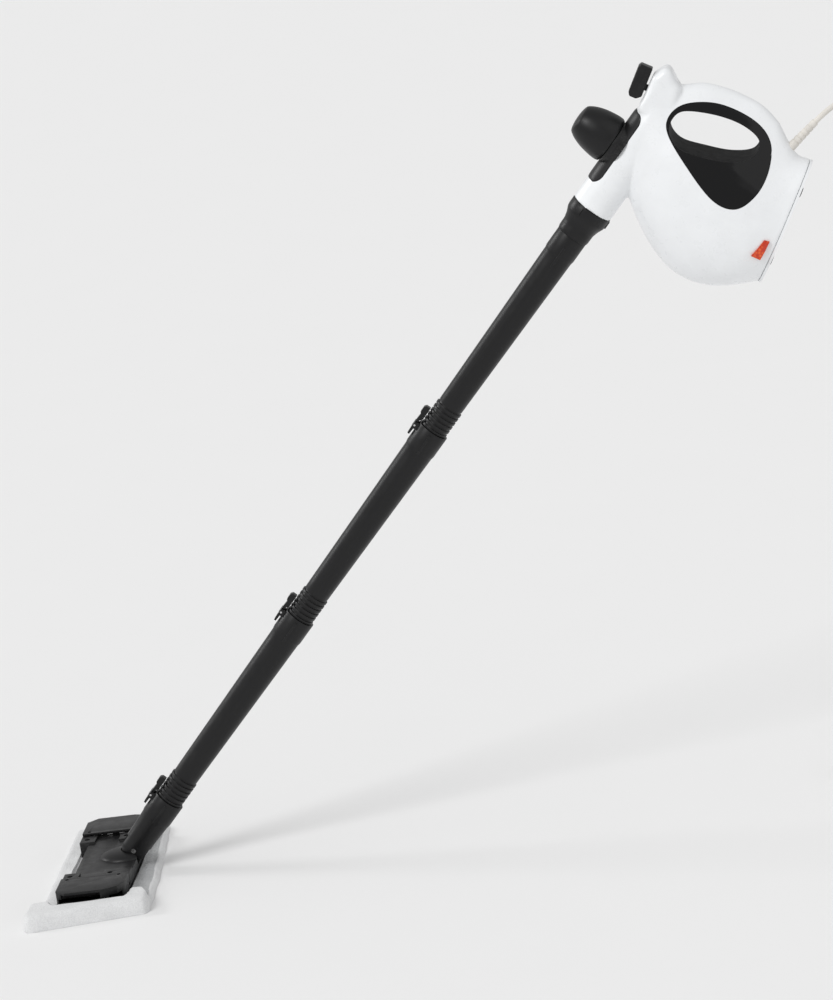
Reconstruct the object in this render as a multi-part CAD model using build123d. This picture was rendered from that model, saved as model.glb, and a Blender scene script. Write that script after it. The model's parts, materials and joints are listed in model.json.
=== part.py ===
"""Steam mop: a hand-held steam unit on a three-piece pole, with a hinged floor head and a cloth pad.

Row frame: +Z up, the floor at Z = 0, the origin on the floor under the middle of the floor head.
+X runs from the front of the head towards the handle, and the mop is symmetric about Y = 0.

Three working frames sit inside it, all in the plane Y = 0:
  pole    z runs up the pole from the neck's hinge, -x is the upper side of the pole
  cap     z runs out of the filler, square to the pole
  unit    the steam unit as it stands on its own base: x to the rear, z up, origin at the nose mouth
"""

import math
import os

from build123d import *

# Pole and neck
LEAN = 43.0  # angle of the pole from the vertical
PIVOT = (38.0, 0.0, 31.0)  # hinge between neck and head
TUBE_LOW_R = 15.6
TUBE_HIGH_R = 18.2
SOCKET_R = 19.0
SOCKET_BAND = 27.0
SPIGOT_R = 15.0
RUNNING_FIT = 0.05  # radial clearance of spigots, pins and the collar
SOCKET_DEPTH = 35.0
SPIGOT_LENGTH = 34.0
NECK_MOUTH = 75.0
NECK_R = 17.0
SWING_FREE = 13.0  # the steepest lean of the pole from the vertical
TUBE_LENGTH = 282.0
UPPER_LENGTH = 286.0
RING_R = 16.8
RING_COUNT = 6
RING_PITCH = 6.0
RING_WIDTH = 3.0
RING_GAP = 0.3  # the lowest ring stands this far above the socket mouth
BORE_R = 12.5
LINE_R = 4.0
COLLAR_LENGTH = 40.0
LOWER_AT = NECK_MOUTH
MIDDLE_AT = LOWER_AT + TUBE_LENGTH
UPPER_AT = MIDDLE_AT + TUBE_LENGTH
NOSE_AT = UPPER_AT + UPPER_LENGTH + COLLAR_LENGTH

# Latch levers on the sockets
LATCH_PIN_R = 1.2
LATCH_PIN_OUT = 21.8  # distance of the pin from the pole axis
LATCH_PIN_DOWN = 7.0  # distance of the pin below the socket mouth
LATCH_WIDTH = 9.0

# Floor head
HEAD_FRONT = -41.0
HEAD_REAR = 41.0
HEAD_HALF = 142.0
MID_FRONT = -30.0
NOTCH_HALF = 58.0  # half the length of the recess in the front edge
STEP_AT = 84.0  # where the raised clamps begin
STEP_GAP = 1.0  # the deck stops this far short, so that the clamps can swing
SOLE_Z = 6.5
BASE_TOP = 13.0
DECK_Z = 22.0
CLAMP_Z = 28.0
HINGE_R = 3.0
LUG_HALF = 6.6
LUG_R = 9.0
SLOT_GAP = 0.4
HINGE_HALF = 15.5
SCREW_SPOTS = [(-33.0, 70.0), (16.0, 70.0)]
CLAMP_PIN_Z = 23.0
CLAMP_PIN_Y = 90.0
CLAMP_PIN_R = 1.5
EAR_R = 2.2

# Cloth pad
PAD_FRONT = -62.0
PAD_REAR = 74.0
PAD_HALF = 164.0
ROLL_OUT = 180.0
ROLL_FRONT = -76.0
PAD_Z = 12.0
ROLL_Z = 20.0

# Steam unit
NOSE_DROP = 12.4  # the nose points this far above the unit's own horizontal
NOSE_R = 25.5
WALL = 2.6
SEAM = 0.15
BASE_U = -210.0
BASE_PLATE = 3.0
FOOT_HEIGHT = 1.2
WIDEST_SHARE = 0.42  # where the body is widest, as a share of its depth from the front
REAR_POWER = 6
SECTION_POINTS = 14
CAP_AT = 78.0
SADDLE_FROM = 27.5
SADDLE_TO = 126.0
SADDLE_LOW = 12.0
SADDLE_R = 26.0
BOSS_R = 26.5
BOSS_TOP = 26.8
HORN_FRONT = 131.0
HORN_REAR = 188.0
HORN_TOP = -4.5
STEM_AT = 155.0
BOILER_AT = 45.0

# Body levels: height, front, rear, half width at the widest place, half width of the handle
BODY_LEVELS = [
    (-210.0, -4.0, 151.0, 46.0, 32.0),
    (-195.0, -13.0, 150.5, 49.0, 28.0),
    (-180.0, -22.0, 160.0, 52.0, 24.0),
    (-160.0, -30.5, 177.0, 54.0, 20.0),
    (-135.0, -34.0, 188.0, 55.0, 19.0),
    (-110.0, -30.0, 191.0, 53.0, 19.0),
    (-86.0, -18.0, 190.5, 49.0, 19.0),
    (-62.0, 0.0, 186.5, 42.0, 19.0),
    (-38.0, 24.0, 178.0, 33.0, 19.0),
    (-18.0, 50.0, 184.0, 25.0, 19.0),
]
TEARDROP = [
    (141, -40), (121, -45), (97, -78), (73, -122), (74, -151), (98, -167),
    (128, -169), (156, -158), (171, -131), (173, -88), (160, -54),
]
TEARDROP_MIDDLE = (125.0, -112.0)
HAND_HOLE = [
    (134, -44), (119, -49), (110, -66), (112, -92), (119, -124),
    (133, -146), (152, -146), (161, -122), (160, -88), (150, -53),
]
HAND_HOLE_MIDDLE = (136.0, -96.0)
SCREW_PLACES = [(5.0, -104.0), (12.0, -184.0), (118.0, -188.0), (70.0, -58.0)]

# Cord: its route from the strain relief to the coil, then from the coil to the plug
CORD_D = 6.5
COIL_X = 950.0
COIL_MID_R = 38.0
COIL_PITCH = 6.6
COIL_LAYERS = 3
COIL_R = COIL_MID_R + COIL_PITCH
RELIEF_LENGTH = 42.0
RELIEF_RISE = 39.0
LEAD_ROUTE = [
    (965, 0, 803), (989, 0, 822), (1016, 0, 826), (1041, 1, 815), (1057, 2, 791),
    (1064, 4, 748), (1068, 6, 688), (1071, 9, 600), (1072, 11, 511), (1070, 12, 421),
    (1066, 11, 331), (1061, 9, 241), (1055, 6, 152), (1048, 3, 95), (1035, 1, 50),
    (1007, 0, 18), (975, 0, 4), (950, 0, 3.4),
]
TAIL_ROUTE = [(950, 89.2, 16.5), (975, 90.2, 16.5), (1000, 94.2, 17), (1022, 99.2, 17.5)]

pole = Location(PIVOT, (0, LEAN, 0))
nozzle = pole * Location((0, 0, NOSE_AT))
cap_frame = nozzle * Location((0, 0, CAP_AT), (0, -90, 0))
unit_frame = nozzle * Location((0, 0, 0), (0, -90 - NOSE_DROP, 0))
to_nozzle = Location((0, 0, 0), (0, 90 + NOSE_DROP, 0))  # from the unit's frame

written = {}


def keep(name, shape, place=Location()):
    """Places a finished node in the row frame."""
    written[name] = place * shape


def rod(radius, low, high):
    """A cylinder on the z axis between two heights."""
    return Pos(0, 0, (low + high) / 2) * Cylinder(radius, high - low)


def cone(low_r, high_r, low, high):
    """A cone on the z axis between two heights."""
    return Pos(0, 0, (low + high) / 2) * Cone(low_r, high_r, high - low)


def block(x0, x1, y0, y1, z0, z1):
    """A box between two corners."""
    return Pos((x0 + x1) / 2, (y0 + y1) / 2, (z0 + z1) / 2) * Box(x1 - x0, y1 - y0, z1 - z0)


def span(side, near, far):
    """Two distances from Y = 0 as a low and a high Y, on one side."""
    return sorted((side * near, side * far))


def ring(outer, inner, low, high):
    """A flat ring on the z axis."""
    return rod(outer, low, high) - rod(inner, low, high)


def cross_rod(radius, x, z, half, y=0.0):
    """A cylinder along Y."""
    return Pos(x, y, z) * Rot(90, 0, 0) * Cylinder(radius, 2 * half)


def plate(outline, low, high):
    """A flat outline in XY raised between two heights."""
    face = Plane.XY.offset(low) * make_face(outline)
    return extrude(face, high - low)


def side_plate(outline, half):
    """An outline in the unit's x-z plane, raised to both sides."""
    face = make_face(Plane.XZ * outline)
    return extrude(face, half, both=True)


def closed_spline(points):
    """A smooth closed outline in the unit's x-z plane."""
    return Spline(*[(x, z) for x, z in points], periodic=True)


# Pole pieces, drawn with z = 0 at the mouth they stand in

def latch_ears(mouth):
    """Two ears that hold a latch pin on the upper side of a socket."""
    z = mouth - LATCH_PIN_DOWN
    ears = Part()
    for side in (-1, 1):
        inner, outer = sorted((side * (LATCH_WIDTH / 2 + 0.3), side * (LATCH_WIDTH / 2 + 2.8)))
        ears += block(-LATCH_PIN_OUT - 2.2, -SPIGOT_R - 1.5, inner, outer, z - 4, z + 4)
    return ears - cross_rod(LATCH_PIN_R, -LATCH_PIN_OUT, z, LATCH_WIDTH)


def key_rib(mouth):
    """The locating rib that runs down a socket on both sides."""
    rib = Part()
    for side in (-1, 1):
        low, high = sorted((side * (SPIGOT_R + 1), side * (SOCKET_R + 0.8)))
        rib += block(-1.5, 1.5, low, high, mouth - 32, mouth - 4)
    return rib


def socket_skin(mouth):
    """The outer form of a socket's band and the short cone that leads into it."""
    skin = rod(SOCKET_R, mouth - SOCKET_BAND, mouth)
    skin += cone(TUBE_HIGH_R, SOCKET_R, mouth - SOCKET_BAND - 4, mouth - SOCKET_BAND)
    return skin + key_rib(mouth)


def spigot_skin():
    """The male end: the spigot itself and the ringed stretch above the mouth."""
    skin = rod(SPIGOT_R, -SPIGOT_LENGTH, RING_COUNT * RING_PITCH + RING_GAP)
    for i in range(RING_COUNT):
        low = RING_GAP + i * RING_PITCH
        skin += rod(RING_R, low, low + RING_WIDTH)
    return skin - spigot_seal()


def pole_tube():
    """A middle or lower tube: spigot below, socket above."""
    rings = RING_COUNT * RING_PITCH + RING_GAP
    band = TUBE_LENGTH - SOCKET_BAND - 4
    tube = spigot_skin() + cone(TUBE_LOW_R, TUBE_HIGH_R, rings, band) + socket_skin(TUBE_LENGTH)
    tube += latch_ears(TUBE_LENGTH)
    tube -= rod(SPIGOT_R + RUNNING_FIT, TUBE_LENGTH - SOCKET_DEPTH, TUBE_LENGTH)
    return tube - rod(BORE_R, -SPIGOT_LENGTH, TUBE_LENGTH - SOCKET_DEPTH)


def upper_tube():
    """The upper tube: spigot below, and above the thick end that the collar turns on."""
    rings = RING_COUNT * RING_PITCH + RING_GAP
    end = UPPER_LENGTH
    tube = spigot_skin() + cone(TUBE_LOW_R, TUBE_HIGH_R, rings, end - SOCKET_BAND - 2)
    tube += cone(TUBE_HIGH_R, SOCKET_R, end - SOCKET_BAND - 2, end - SOCKET_BAND + 2)
    tube += rod(SOCKET_R, end - SOCKET_BAND + 2, end)
    tube += key_rib(end - 10) + rod(17.0, end, end + COLLAR_LENGTH - 2)
    tube -= rod(SPIGOT_R + RUNNING_FIT, end + COLLAR_LENGTH - SOCKET_DEPTH - 2, end + COLLAR_LENGTH)
    return tube - rod(BORE_R, -SPIGOT_LENGTH, end + COLLAR_LENGTH - SOCKET_DEPTH - 2)


def steam_line(length):
    """The inner steam line of one tube, with the two discs that centre it in the bore."""
    line = rod(LINE_R, -SPIGOT_LENGTH + 1, length - 1)
    for low in (-SPIGOT_LENGTH + 6, length - 10):
        disc = rod(BORE_R, low, low + 3)
        for turn in range(4):
            disc -= Rot(0, 0, 90 * turn) * Pos(8.2, 0, low + 1.5) * Cylinder(2.6, 4)
        line += disc
    return line - rod(LINE_R - 1.2, -SPIGOT_LENGTH, length)


def spigot_seal():
    """The ring seal in a spigot's groove."""
    return ring(SPIGOT_R, SPIGOT_R - 1.5, -27.5, -25.5)


def latch_lever():
    """A lever on the upper side of a socket, with z = 0 at the socket mouth."""
    z = -LATCH_PIN_DOWN
    outline = Polyline(
        (-21.0, z - 13), (-23.4, z - 13), (-24.0, z), (-23.2, 8), (-25.0, 10), (-25.0, 17),
        (-22.8, 19.5), (-17.4, 19.5), (-17.4, 4), (-19.9, 1), (-20.4, z), close=True,
    )
    lever = extrude(make_face(Plane.XZ * outline), LATCH_WIDTH / 2, both=True)
    return lever - cross_rod(LATCH_PIN_R + RUNNING_FIT, -LATCH_PIN_OUT, z, LATCH_WIDTH)


def latch_pin():
    """The pin that a lever tips on."""
    return cross_rod(LATCH_PIN_R, -LATCH_PIN_OUT, -LATCH_PIN_DOWN, LATCH_WIDTH / 2 + 2.8)


def neck():
    """The hinged neck: a slotted ball on the head's pin, and a socket for the lower tube."""
    band = NECK_MOUTH - SOCKET_BAND - 4
    body = Sphere(NECK_R) + rod(NECK_R, 0, 20) + cone(NECK_R, TUBE_HIGH_R, 20, band)
    body += socket_skin(NECK_MOUTH) + latch_ears(NECK_MOUTH)
    slot = LUG_HALF + SLOT_GAP
    body -= block(-NECK_R, NECK_R, -slot, slot, -NECK_R, LUG_R + SLOT_GAP)
    body -= rod(SPIGOT_R + RUNNING_FIT, NECK_MOUTH - SOCKET_DEPTH, NECK_MOUTH)
    body -= rod(5.0, 12, NECK_MOUTH)
    return body - cross_rod(HINGE_R + RUNNING_FIT, 0, 0, 20)


def locking_collar():
    """The bell that locks the nose: it turns on the upper tube's end."""
    profile = Polyline(
        (17.0 + RUNNING_FIT, 0.3), (19.4, 0.3), (20.0, 3), (20.2, 13), (22.0, 20), (25.0, 27),
        (25.5, 31), (25.5, COLLAR_LENGTH - 0.3), (17.0 + RUNNING_FIT, COLLAR_LENGTH - 0.3), close=True,
    )
    bell = revolve(make_face(Plane.XZ * profile), Axis.Z)
    for turn in range(3):
        bell += Rot(0, 0, 120 * turn + 60) * block(-26.3, -24.8, -4, 4, 29, COLLAR_LENGTH - 2)
    return bell


# Floor head

def head_outline():
    """The head's outline: chamfered front corners and rounded rear corners."""
    chamfer = 12.0
    return Polyline(
        (HEAD_FRONT, -HEAD_HALF + chamfer), (HEAD_FRONT + chamfer, -HEAD_HALF),
        (HEAD_REAR - 24, -HEAD_HALF), (HEAD_REAR - 7, -HEAD_HALF + 7), (HEAD_REAR, -HEAD_HALF + 24),
        (HEAD_REAR, HEAD_HALF - 24), (HEAD_REAR - 7, HEAD_HALF - 7), (HEAD_REAR - 24, HEAD_HALF),
        (HEAD_FRONT + chamfer, HEAD_HALF), (HEAD_FRONT, HEAD_HALF - chamfer), close=True,
    )


def head_base():
    """The sole plate, with rows of steam holes."""
    sole = plate(head_outline(), SOLE_Z, BASE_TOP - 0.1)
    sole -= block(HEAD_FRONT - 1, MID_FRONT, -NOTCH_HALF, NOTCH_HALF, 0, BASE_TOP)
    for row in (-12, 12):
        for column in range(-4, 5):
            sole -= Pos(row, column * 14, SOLE_Z) * Cylinder(1.6, 30)
    sole -= block(-22, 22, -64, 64, SOLE_Z + 3, BASE_TOP)
    return sole


def head_housing():
    """The deck over the sole, with the dome, the hinge lug and the clamps' pin ears."""
    step = STEP_AT - STEP_GAP
    deck = block(MID_FRONT, HEAD_REAR, -step, step, BASE_TOP, DECK_Z)
    deck -= block(MID_FRONT + 2.5, HEAD_REAR - 2.5, -step + 2.5, step - 2.5, BASE_TOP, DECK_Z - 2.5)
    deck += cut_dome() + corner_tabs()
    deck -= ball_room()
    deck += block(12, PIVOT[0], -LUG_HALF, LUG_HALF, BASE_TOP, PIVOT[2] - 4)
    deck += cross_rod(LUG_R, PIVOT[0], PIVOT[2], LUG_HALF)
    for side in (-1, 1):
        for x in (-14.0, 14.0):
            ys = span(side, STEP_AT - 3, CLAMP_PIN_Y + EAR_R)
            deck += block(x - 3, x + 3, *ys, BASE_TOP, CLAMP_PIN_Z - 2.5)
            ys = span(side, CLAMP_PIN_Y - EAR_R, CLAMP_PIN_Y + EAR_R)
            deck += block(x - 3, x + 3, *ys, BASE_TOP, CLAMP_PIN_Z)
            deck += Pos(x, side * CLAMP_PIN_Y, CLAMP_PIN_Z) * Rot(0, 90, 0) * Cylinder(EAR_R, 6)
        deck -= cross_pin(CLAMP_PIN_R, side)
        for x, y in SCREW_SPOTS:
            deck -= Pos(x, side * y, DECK_Z + 1.4) * Cylinder(3.2, 4)
    return deck - cross_rod(HINGE_R, PIVOT[0], PIVOT[2], 30)


def cut_dome():
    """The half dome in front of the hinge."""
    dome = Pos(24, 0, DECK_Z - 1) * scale(Sphere(1), by=(31, 27, 10))
    return dome & block(-20, HEAD_REAR, -40, 40, DECK_Z - 1, 60)


def corner_tabs():
    """The four low tabs with screw wells beside the clamps; the front pair closes the front edge."""
    tabs = Part()
    for side in (-1, 1):
        tabs += block(HEAD_FRONT, -22, *span(side, NOTCH_HALF, STEP_AT - STEP_GAP), BASE_TOP, DECK_Z + 3)
        tabs += block(8, HEAD_REAR, *span(side, NOTCH_HALF, STEP_AT - STEP_GAP), DECK_Z - 1, DECK_Z + 3)
    return tabs


def ball_room():
    """The space that the neck sweeps."""
    room = Pos(*PIVOT) * Sphere(NECK_R + 0.7)
    room += Location(PIVOT, (0, SWING_FREE - 1, 0)) * rod(NECK_R + 0.7, 0, 60)
    wide = NECK_R + 0.7
    return room + block(PIVOT[0], PIVOT[0] + 20, -wide, wide, PIVOT[2] - wide, 60)


def cross_pin(radius, side):
    """A clamp pin's cylinder, along X."""
    return Pos(0, side * CLAMP_PIN_Y, CLAMP_PIN_Z) * Rot(0, 90, 0) * Cylinder(radius, 54)


def clamp(side):
    """A raised end of the head: it swings up on its pin to let go of the cloth."""
    gap = 0.4
    body = plate(head_outline(), BASE_TOP + 0.3, CLAMP_Z)
    body &= block(HEAD_FRONT, HEAD_REAR, *span(side, STEP_AT + gap, HEAD_HALF + 1), 0, CLAMP_Z)
    body -= block(HEAD_FRONT + 3, HEAD_REAR - 3, *span(side, STEP_AT - 1, HEAD_HALF - 3), 0, CLAMP_Z - 9)
    body -= block(HEAD_FRONT + 3, HEAD_REAR - 3, *span(side, STEP_AT - 1, 96), 0, CLAMP_Z - 2.5)
    body -= block(HEAD_FRONT - 1, HEAD_REAR + 1, *span(side, STEP_AT - 1, 93), 0, BASE_TOP + 2.6)
    body -= block(-34, 14, *span(side, HEAD_HALF - 8, HEAD_HALF + 1), BASE_TOP + 3, CLAMP_Z - 3)
    for x in (-22.0, 0.0, 22.0):
        ys = span(side, CLAMP_PIN_Y - 3, CLAMP_PIN_Y + 3)
        body += block(x - 4, x + 4, *ys, CLAMP_PIN_Z - 3, CLAMP_Z - 2)
    for x in (-33.0, 30.0):
        body -= Pos(x, side * (STEP_AT + 6), CLAMP_Z) * Cylinder(2.2, 6)
    return body - cross_pin(CLAMP_PIN_R + RUNNING_FIT, side)


def head_screws():
    """The screws that hold the sole to the deck."""
    screws = Part()
    for side in (-1, 1):
        for x, y in SCREW_SPOTS:
            screws += Pos(x, side * y, DECK_Z + 0.1) * Cylinder(2.6, 1.2)
    return screws


def cloth_pad():
    """The cloth pad: a soft tub under the sole, with a thick rolled end on the near side."""
    pad = fillet(block(PAD_FRONT, PAD_REAR, -PAD_HALF, PAD_HALF, 0, PAD_Z).edges().filter_by(Axis.Z), 14)
    roll = block(ROLL_FRONT, PAD_REAR - 6, -ROLL_OUT, -HEAD_HALF - 1.5, 0, ROLL_Z)
    roll = fillet(roll.edges().filter_by(Axis.X), 7)
    tub = pad + roll
    return tub - block(HEAD_FRONT - 1, HEAD_REAR + 1, -HEAD_HALF - 1, HEAD_HALF + 1, SOLE_Z - 0.5, 40)


# Steam unit, in its own standing frame

def outline_y(x, front, rear, half, grip):
    """Half the body's width at one place of a level: elliptical in front, drawn in to the handle."""
    widest = front + WIDEST_SHARE * (rear - front)
    if x <= widest:
        return half * math.sqrt(max(0.0, 1 - ((widest - x) / (widest - front)) ** 2))
    share = (x - widest) / (rear - widest)
    drawn_in = grip + (half - grip) * (1 + math.cos(math.pi * share)) / 2
    return drawn_in * math.sqrt(max(0.0, 1 - share ** REAR_POWER))


def half_width(x, z):
    """Half the body's width at a place between two levels."""
    for low, high in zip(BODY_LEVELS, BODY_LEVELS[1:]):
        if low[0] <= z <= high[0]:
            share = (z - low[0]) / (high[0] - low[0])
            return outline_y(x, *[a + share * (b - a) for a, b in zip(low[1:], high[1:])])
    return NOSE_R


def level_outline(level, inset):
    """The body's closed outline at one height."""
    height, front, rear, half, grip = level
    front, rear, half, grip = front + inset, rear - inset, half - inset, grip - inset
    side = []
    for i in range(SECTION_POINTS + 1):
        x = (front + rear) / 2 - (rear - front) / 2 * math.cos(math.pi * i / SECTION_POINTS)
        side.append((x, outline_y(x, front, rear, half, grip)))
    far = [(x, -y) for x, y in reversed(side[1:-1])]
    return make_face(Plane.XY.offset(height) * Spline(*side, *far, periodic=True))


def body_form(inset):
    """The unit's closed outer form, or the same form drawn in by a wall."""
    levels = list(BODY_LEVELS)
    if inset:
        low, high = levels[0], levels[-1]
        levels[0] = (low[0] - 1, *low[1:])
        levels[-1] = (high[0] - inset, *high[1:])
    form = loft([level_outline(level, inset) for level in levels])
    nose = to_nozzle * rod(NOSE_R - inset, inset, 165)
    horn = block(HORN_FRONT + inset, HORN_REAR - inset, -19 + inset, 19 - inset, -34, HORN_TOP - inset)
    horn = fillet(horn.edges(), 6.0 - inset)
    return form + nose + horn


def grown(points, middle, grow):
    """A closed outline with every point moved away from its middle."""
    moved = []
    for x, z in points:
        away = math.hypot(x - middle[0], z - middle[1])
        moved.append((x + grow * (x - middle[0]) / away, z + grow * (z - middle[1]) / away))
    return closed_spline(moved)


def hand_tunnel(grow):
    """The through hole for the fingers, as a solid bar, grown on all sides."""
    return side_plate(grown(HAND_HOLE, HAND_HOLE_MIDDLE, grow), 80)


def teardrop(grow):
    """The glossy insert's outline, as a solid bar, grown on all sides."""
    return side_plate(grown(TEARDROP, TEARDROP_MIDDLE, grow), 80)


def lens_bar(grow):
    """The indicator's bow-tie outline on the near side."""
    outline = Polyline(
        (29.8 - grow, -188.3 + grow), (29.5 - grow, -200 - grow), (41.8, -201.2 - grow),
        (53.6 + grow, -201.6 - grow), (52.8 + grow, -195 + grow), (40.7, -191.9 + grow), close=True,
    )
    return extrude(make_face(Plane.XZ * outline), 51)


def relief_place():
    """Where the strain relief leaves the body, with z along the cord."""
    x = LEAD_ROUTE[0][0] - RELIEF_LENGTH * math.cos(math.radians(RELIEF_RISE))
    z = LEAD_ROUTE[0][2] - RELIEF_LENGTH * math.sin(math.radians(RELIEF_RISE))
    return Location((x, 0, z), (0, 90 - RELIEF_RISE, 0))


def saddle_bar(grow):
    """The band over the nose that the saddle fills, in the nozzle's frame."""
    band = rod(SADDLE_R + grow, SADDLE_FROM - grow, SADDLE_TO + grow) - rod(24.2 - grow, 0, 200)
    return band & block(-40, -SADDLE_LOW + grow, -40, 40, SADDLE_FROM - grow, SADDLE_TO + grow)


def saddle():
    """The band over the nose, with the round boss that the knob sits down on."""
    to_cap = Location((0, 0, CAP_AT), (0, -90, 0))
    boss = (to_cap * ring(BOSS_R, 15.4, 0, BOSS_TOP)) - rod(NOSE_R + 0.1, 0, 200)
    return saddle_bar(0) - (to_cap * rod(15.4, 0, 80)) + boss


def near_half(sign):
    """Half of space beside the plane Y = 0."""
    low, high = (-200, 0) if sign < 0 else (0, 200)
    return block(-300, 400, low, high, -400, 200)


def screw_bar(radius, x, z, low, high):
    """A cylinder along Y between two distances from the middle plane."""
    return Pos(x, (low + high) / 2, z) * Rot(90, 0, 0) * Cylinder(radius, high - low)


def housing():
    """The two shell halves and the two glossy inserts."""
    outer = body_form(0)
    walls = outer - body_form(WALL)
    to_cap = to_nozzle * Location((0, 0, CAP_AT), (0, -90, 0))
    skin = walls - (to_nozzle * rod(15.2, -5, 12))
    skin -= to_nozzle * saddle_bar(SEAM)
    skin -= to_cap * rod(15.3, 0, 40)
    skin -= Pos(STEM_AT, 0, -6) * Cylinder(4.4, 20)
    skin -= lens_bar(SEAM)
    skin -= unit_frame.inverse() * relief_place() * rod(5.9, -8, 12)
    for x, z in SCREW_PLACES:
        skin -= screw_bar(3.2, x, z, 8, 60)
    tunnel = (hand_tunnel(2.6) & outer) - hand_tunnel(0)
    insert = ((skin & teardrop(-SEAM)) - hand_tunnel(0)) + (tunnel & teardrop(-SEAM))
    shell = (skin - teardrop(SEAM)) - hand_tunnel(2.8)
    for name, sign in (("left", -1), ("right", 1)):
        keep(f"shell_{name}", largest(shell & near_half(sign)), unit_frame)
        keep(f"insert_{name}", largest(insert & near_half(sign)), unit_frame)


def largest(shape):
    """The largest solid of a shape, without the slivers a cut can leave."""
    return max(shape.solids(), key=lambda solid: solid.volume)


def base_plate():
    """The oval base: a flange under the shells and a plug inside them."""
    flange = extrude(level_outline(BODY_LEVELS[0], 0), -BASE_PLATE)
    plug = extrude(level_outline(BODY_LEVELS[0], WALL + 1.6), 2.5)
    return Pos(0, 0, -0.1) * (flange + plug)


def base_feet():
    """Four rubber pads under the base."""
    feet = Part()
    low = BASE_U - BASE_PLATE - 0.1 - FOOT_HEIGHT
    for x in (30.0, 116.0):
        for y in (-25.0, 25.0):
            feet += Pos(x, y, 0) * rod(6, low, low + FOOT_HEIGHT)
    return feet


def boiler():
    """The pressure vessel: a drum with rounded ends, hollow."""
    drum = fillet(rod(35, -165, -74).edges(), 14)
    hollow = fillet(rod(33, -163, -76).edges(), 12)
    return Pos(BOILER_AT, 0, 0) * (drum - hollow)


def filler_cap():
    """The large knob over the filler, in the cap's frame."""
    profile = Polyline(
        (14.05, 27.2), (27.4, 27.2), (28.5, 29), (28.6, 35), (27.6, 44), (25.9, 53), (23.6, 60),
        (20.5, 67), (17.2, 71.5), (12, 73.8), (0, 75), (0, 56), (14.05, 56), close=True,
    )
    return revolve(make_face(Plane.XZ * profile), Axis.Z)


def cap_plug():
    """The pressure plug that the knob lifts out of the filler."""
    return rod(10.9, 8, 27.9) + rod(14.0, 27.9, 52)


def trigger():
    """The steam trigger on top of the handle, in the unit's frame."""
    outline = Polyline(
        (139.5, 3), (139.5, 11.5), (144, 14), (175.5, 14.8), (179.2, 13), (179.2, -1.7), (144, -2.2),
        close=True,
    )
    return extrude(make_face(Plane.XZ * outline), 8.5, both=True)


def strain_relief():
    """A tapered sleeve over the cord's first stretch, with a flange inside the shell."""
    sleeve = cone(5.6, 4.3, 0, RELIEF_LENGTH) + rod(5.6, -6, 0)
    for i in range(5):
        low = 10 + 6 * i
        groove = rod(8, low, low + 1.6) - rod(4.4 - 0.12 * i, low, low + 1.6)
        sleeve -= groove
    return sleeve


# Cord

def corner_radii(route):
    """The arc at each corner: as large as its two runs allow."""
    radii = []
    for before, corner, after in zip(route, route[1:], route[2:]):
        arriving = Vector(corner) - Vector(before)
        leaving = Vector(after) - Vector(corner)
        turn = math.radians(arriving.get_angle(leaving))
        radii.append(0.45 * min(arriving.length, leaving.length) / math.tan(turn / 2))
    return radii


def cord_tube(name, route):
    """A plain tube along a route of straight runs and tangent arcs."""
    radii = corner_radii(route)
    path = FilletPolyline(*route, radius=radii)
    start = Plane(origin=route[0], z_dir=Vector(route[1]) - Vector(route[0]))
    tube = sweep(start * Circle(CORD_D / 2), path=path)
    expected = math.pi * CORD_D ** 2 / 4 * path.length
    print(f"{name}: {path.length:.0f} mm, volume / (section x length) = {tube.volume / expected:.4f}")
    print("  radii", [round(radius) for radius in radii])
    keep(name, tube)


def cord_coil():
    """The outer form of the wound cord, lying on the floor."""
    half = COIL_PITCH + CORD_D / 2
    height = COIL_LAYERS * COIL_PITCH
    ring = rod(COIL_MID_R + half, 0, height) - rod(COIL_MID_R - half, 0, height)
    return fillet(ring.edges(), 2.5)


def cord_tie():
    """The tie round the coil's turns."""
    half = COIL_PITCH + CORD_D / 2
    height = COIL_LAYERS * COIL_PITCH
    outer = block(COIL_MID_R - half - 1.5, COIL_MID_R + half + 1.5, -6, 6, 0.05, height + 1.5)
    return outer - block(COIL_MID_R - half, COIL_MID_R + half, -7, 7, 0, height)


def plug_body():
    """A generic round mains plug, drawn with z from the cord to the pins."""
    return cone(5.0, 8.0, 0, 14) + cone(8.0, 17.0, 14, 24) + rod(17.0, 24, 44)


def plug_pins():
    """The plug's two round pins."""
    pins = Part()
    for side in (-1, 1):
        pins += Pos(0, side * 9.5, 0) * rod(2.4, 44, 63)
    return pins


def make_pole():
    for name, at in (("neck", NECK_MOUTH), ("lower", MIDDLE_AT), ("middle", UPPER_AT)):
        place = pole * Location((0, 0, at))
        keep(f"latch_{name}", latch_lever(), place)
        keep(f"latch_pin_{name}", latch_pin(), place)
    keep("neck", neck(), pole)
    for name, at in (("lower", LOWER_AT), ("middle", MIDDLE_AT), ("upper", UPPER_AT)):
        place = pole * Location((0, 0, at))
        upper = name == "upper"
        length = UPPER_LENGTH + COLLAR_LENGTH - 2 if upper else TUBE_LENGTH
        keep(f"tube_{name}", upper_tube() if upper else pole_tube(), place)
        keep(f"steam_line_{name}", steam_line(length - SOCKET_DEPTH), place)
        keep(f"seal_{name}", spigot_seal(), place)
    keep("locking_collar", locking_collar(), pole * Location((0, 0, NOSE_AT - COLLAR_LENGTH)))


def make_head():
    keep("head_base", head_base())
    keep("head_housing", head_housing())
    keep("head_screws", head_screws())
    keep("head_pin", cross_rod(HINGE_R, PIVOT[0], PIVOT[2], HINGE_HALF))
    keep("clamp_near", clamp(-1))
    keep("clamp_far", clamp(1))
    keep("clamp_pins", cross_pin(CLAMP_PIN_R, -1) + cross_pin(CLAMP_PIN_R, 1))
    keep("cloth_pad", cloth_pad())


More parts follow.
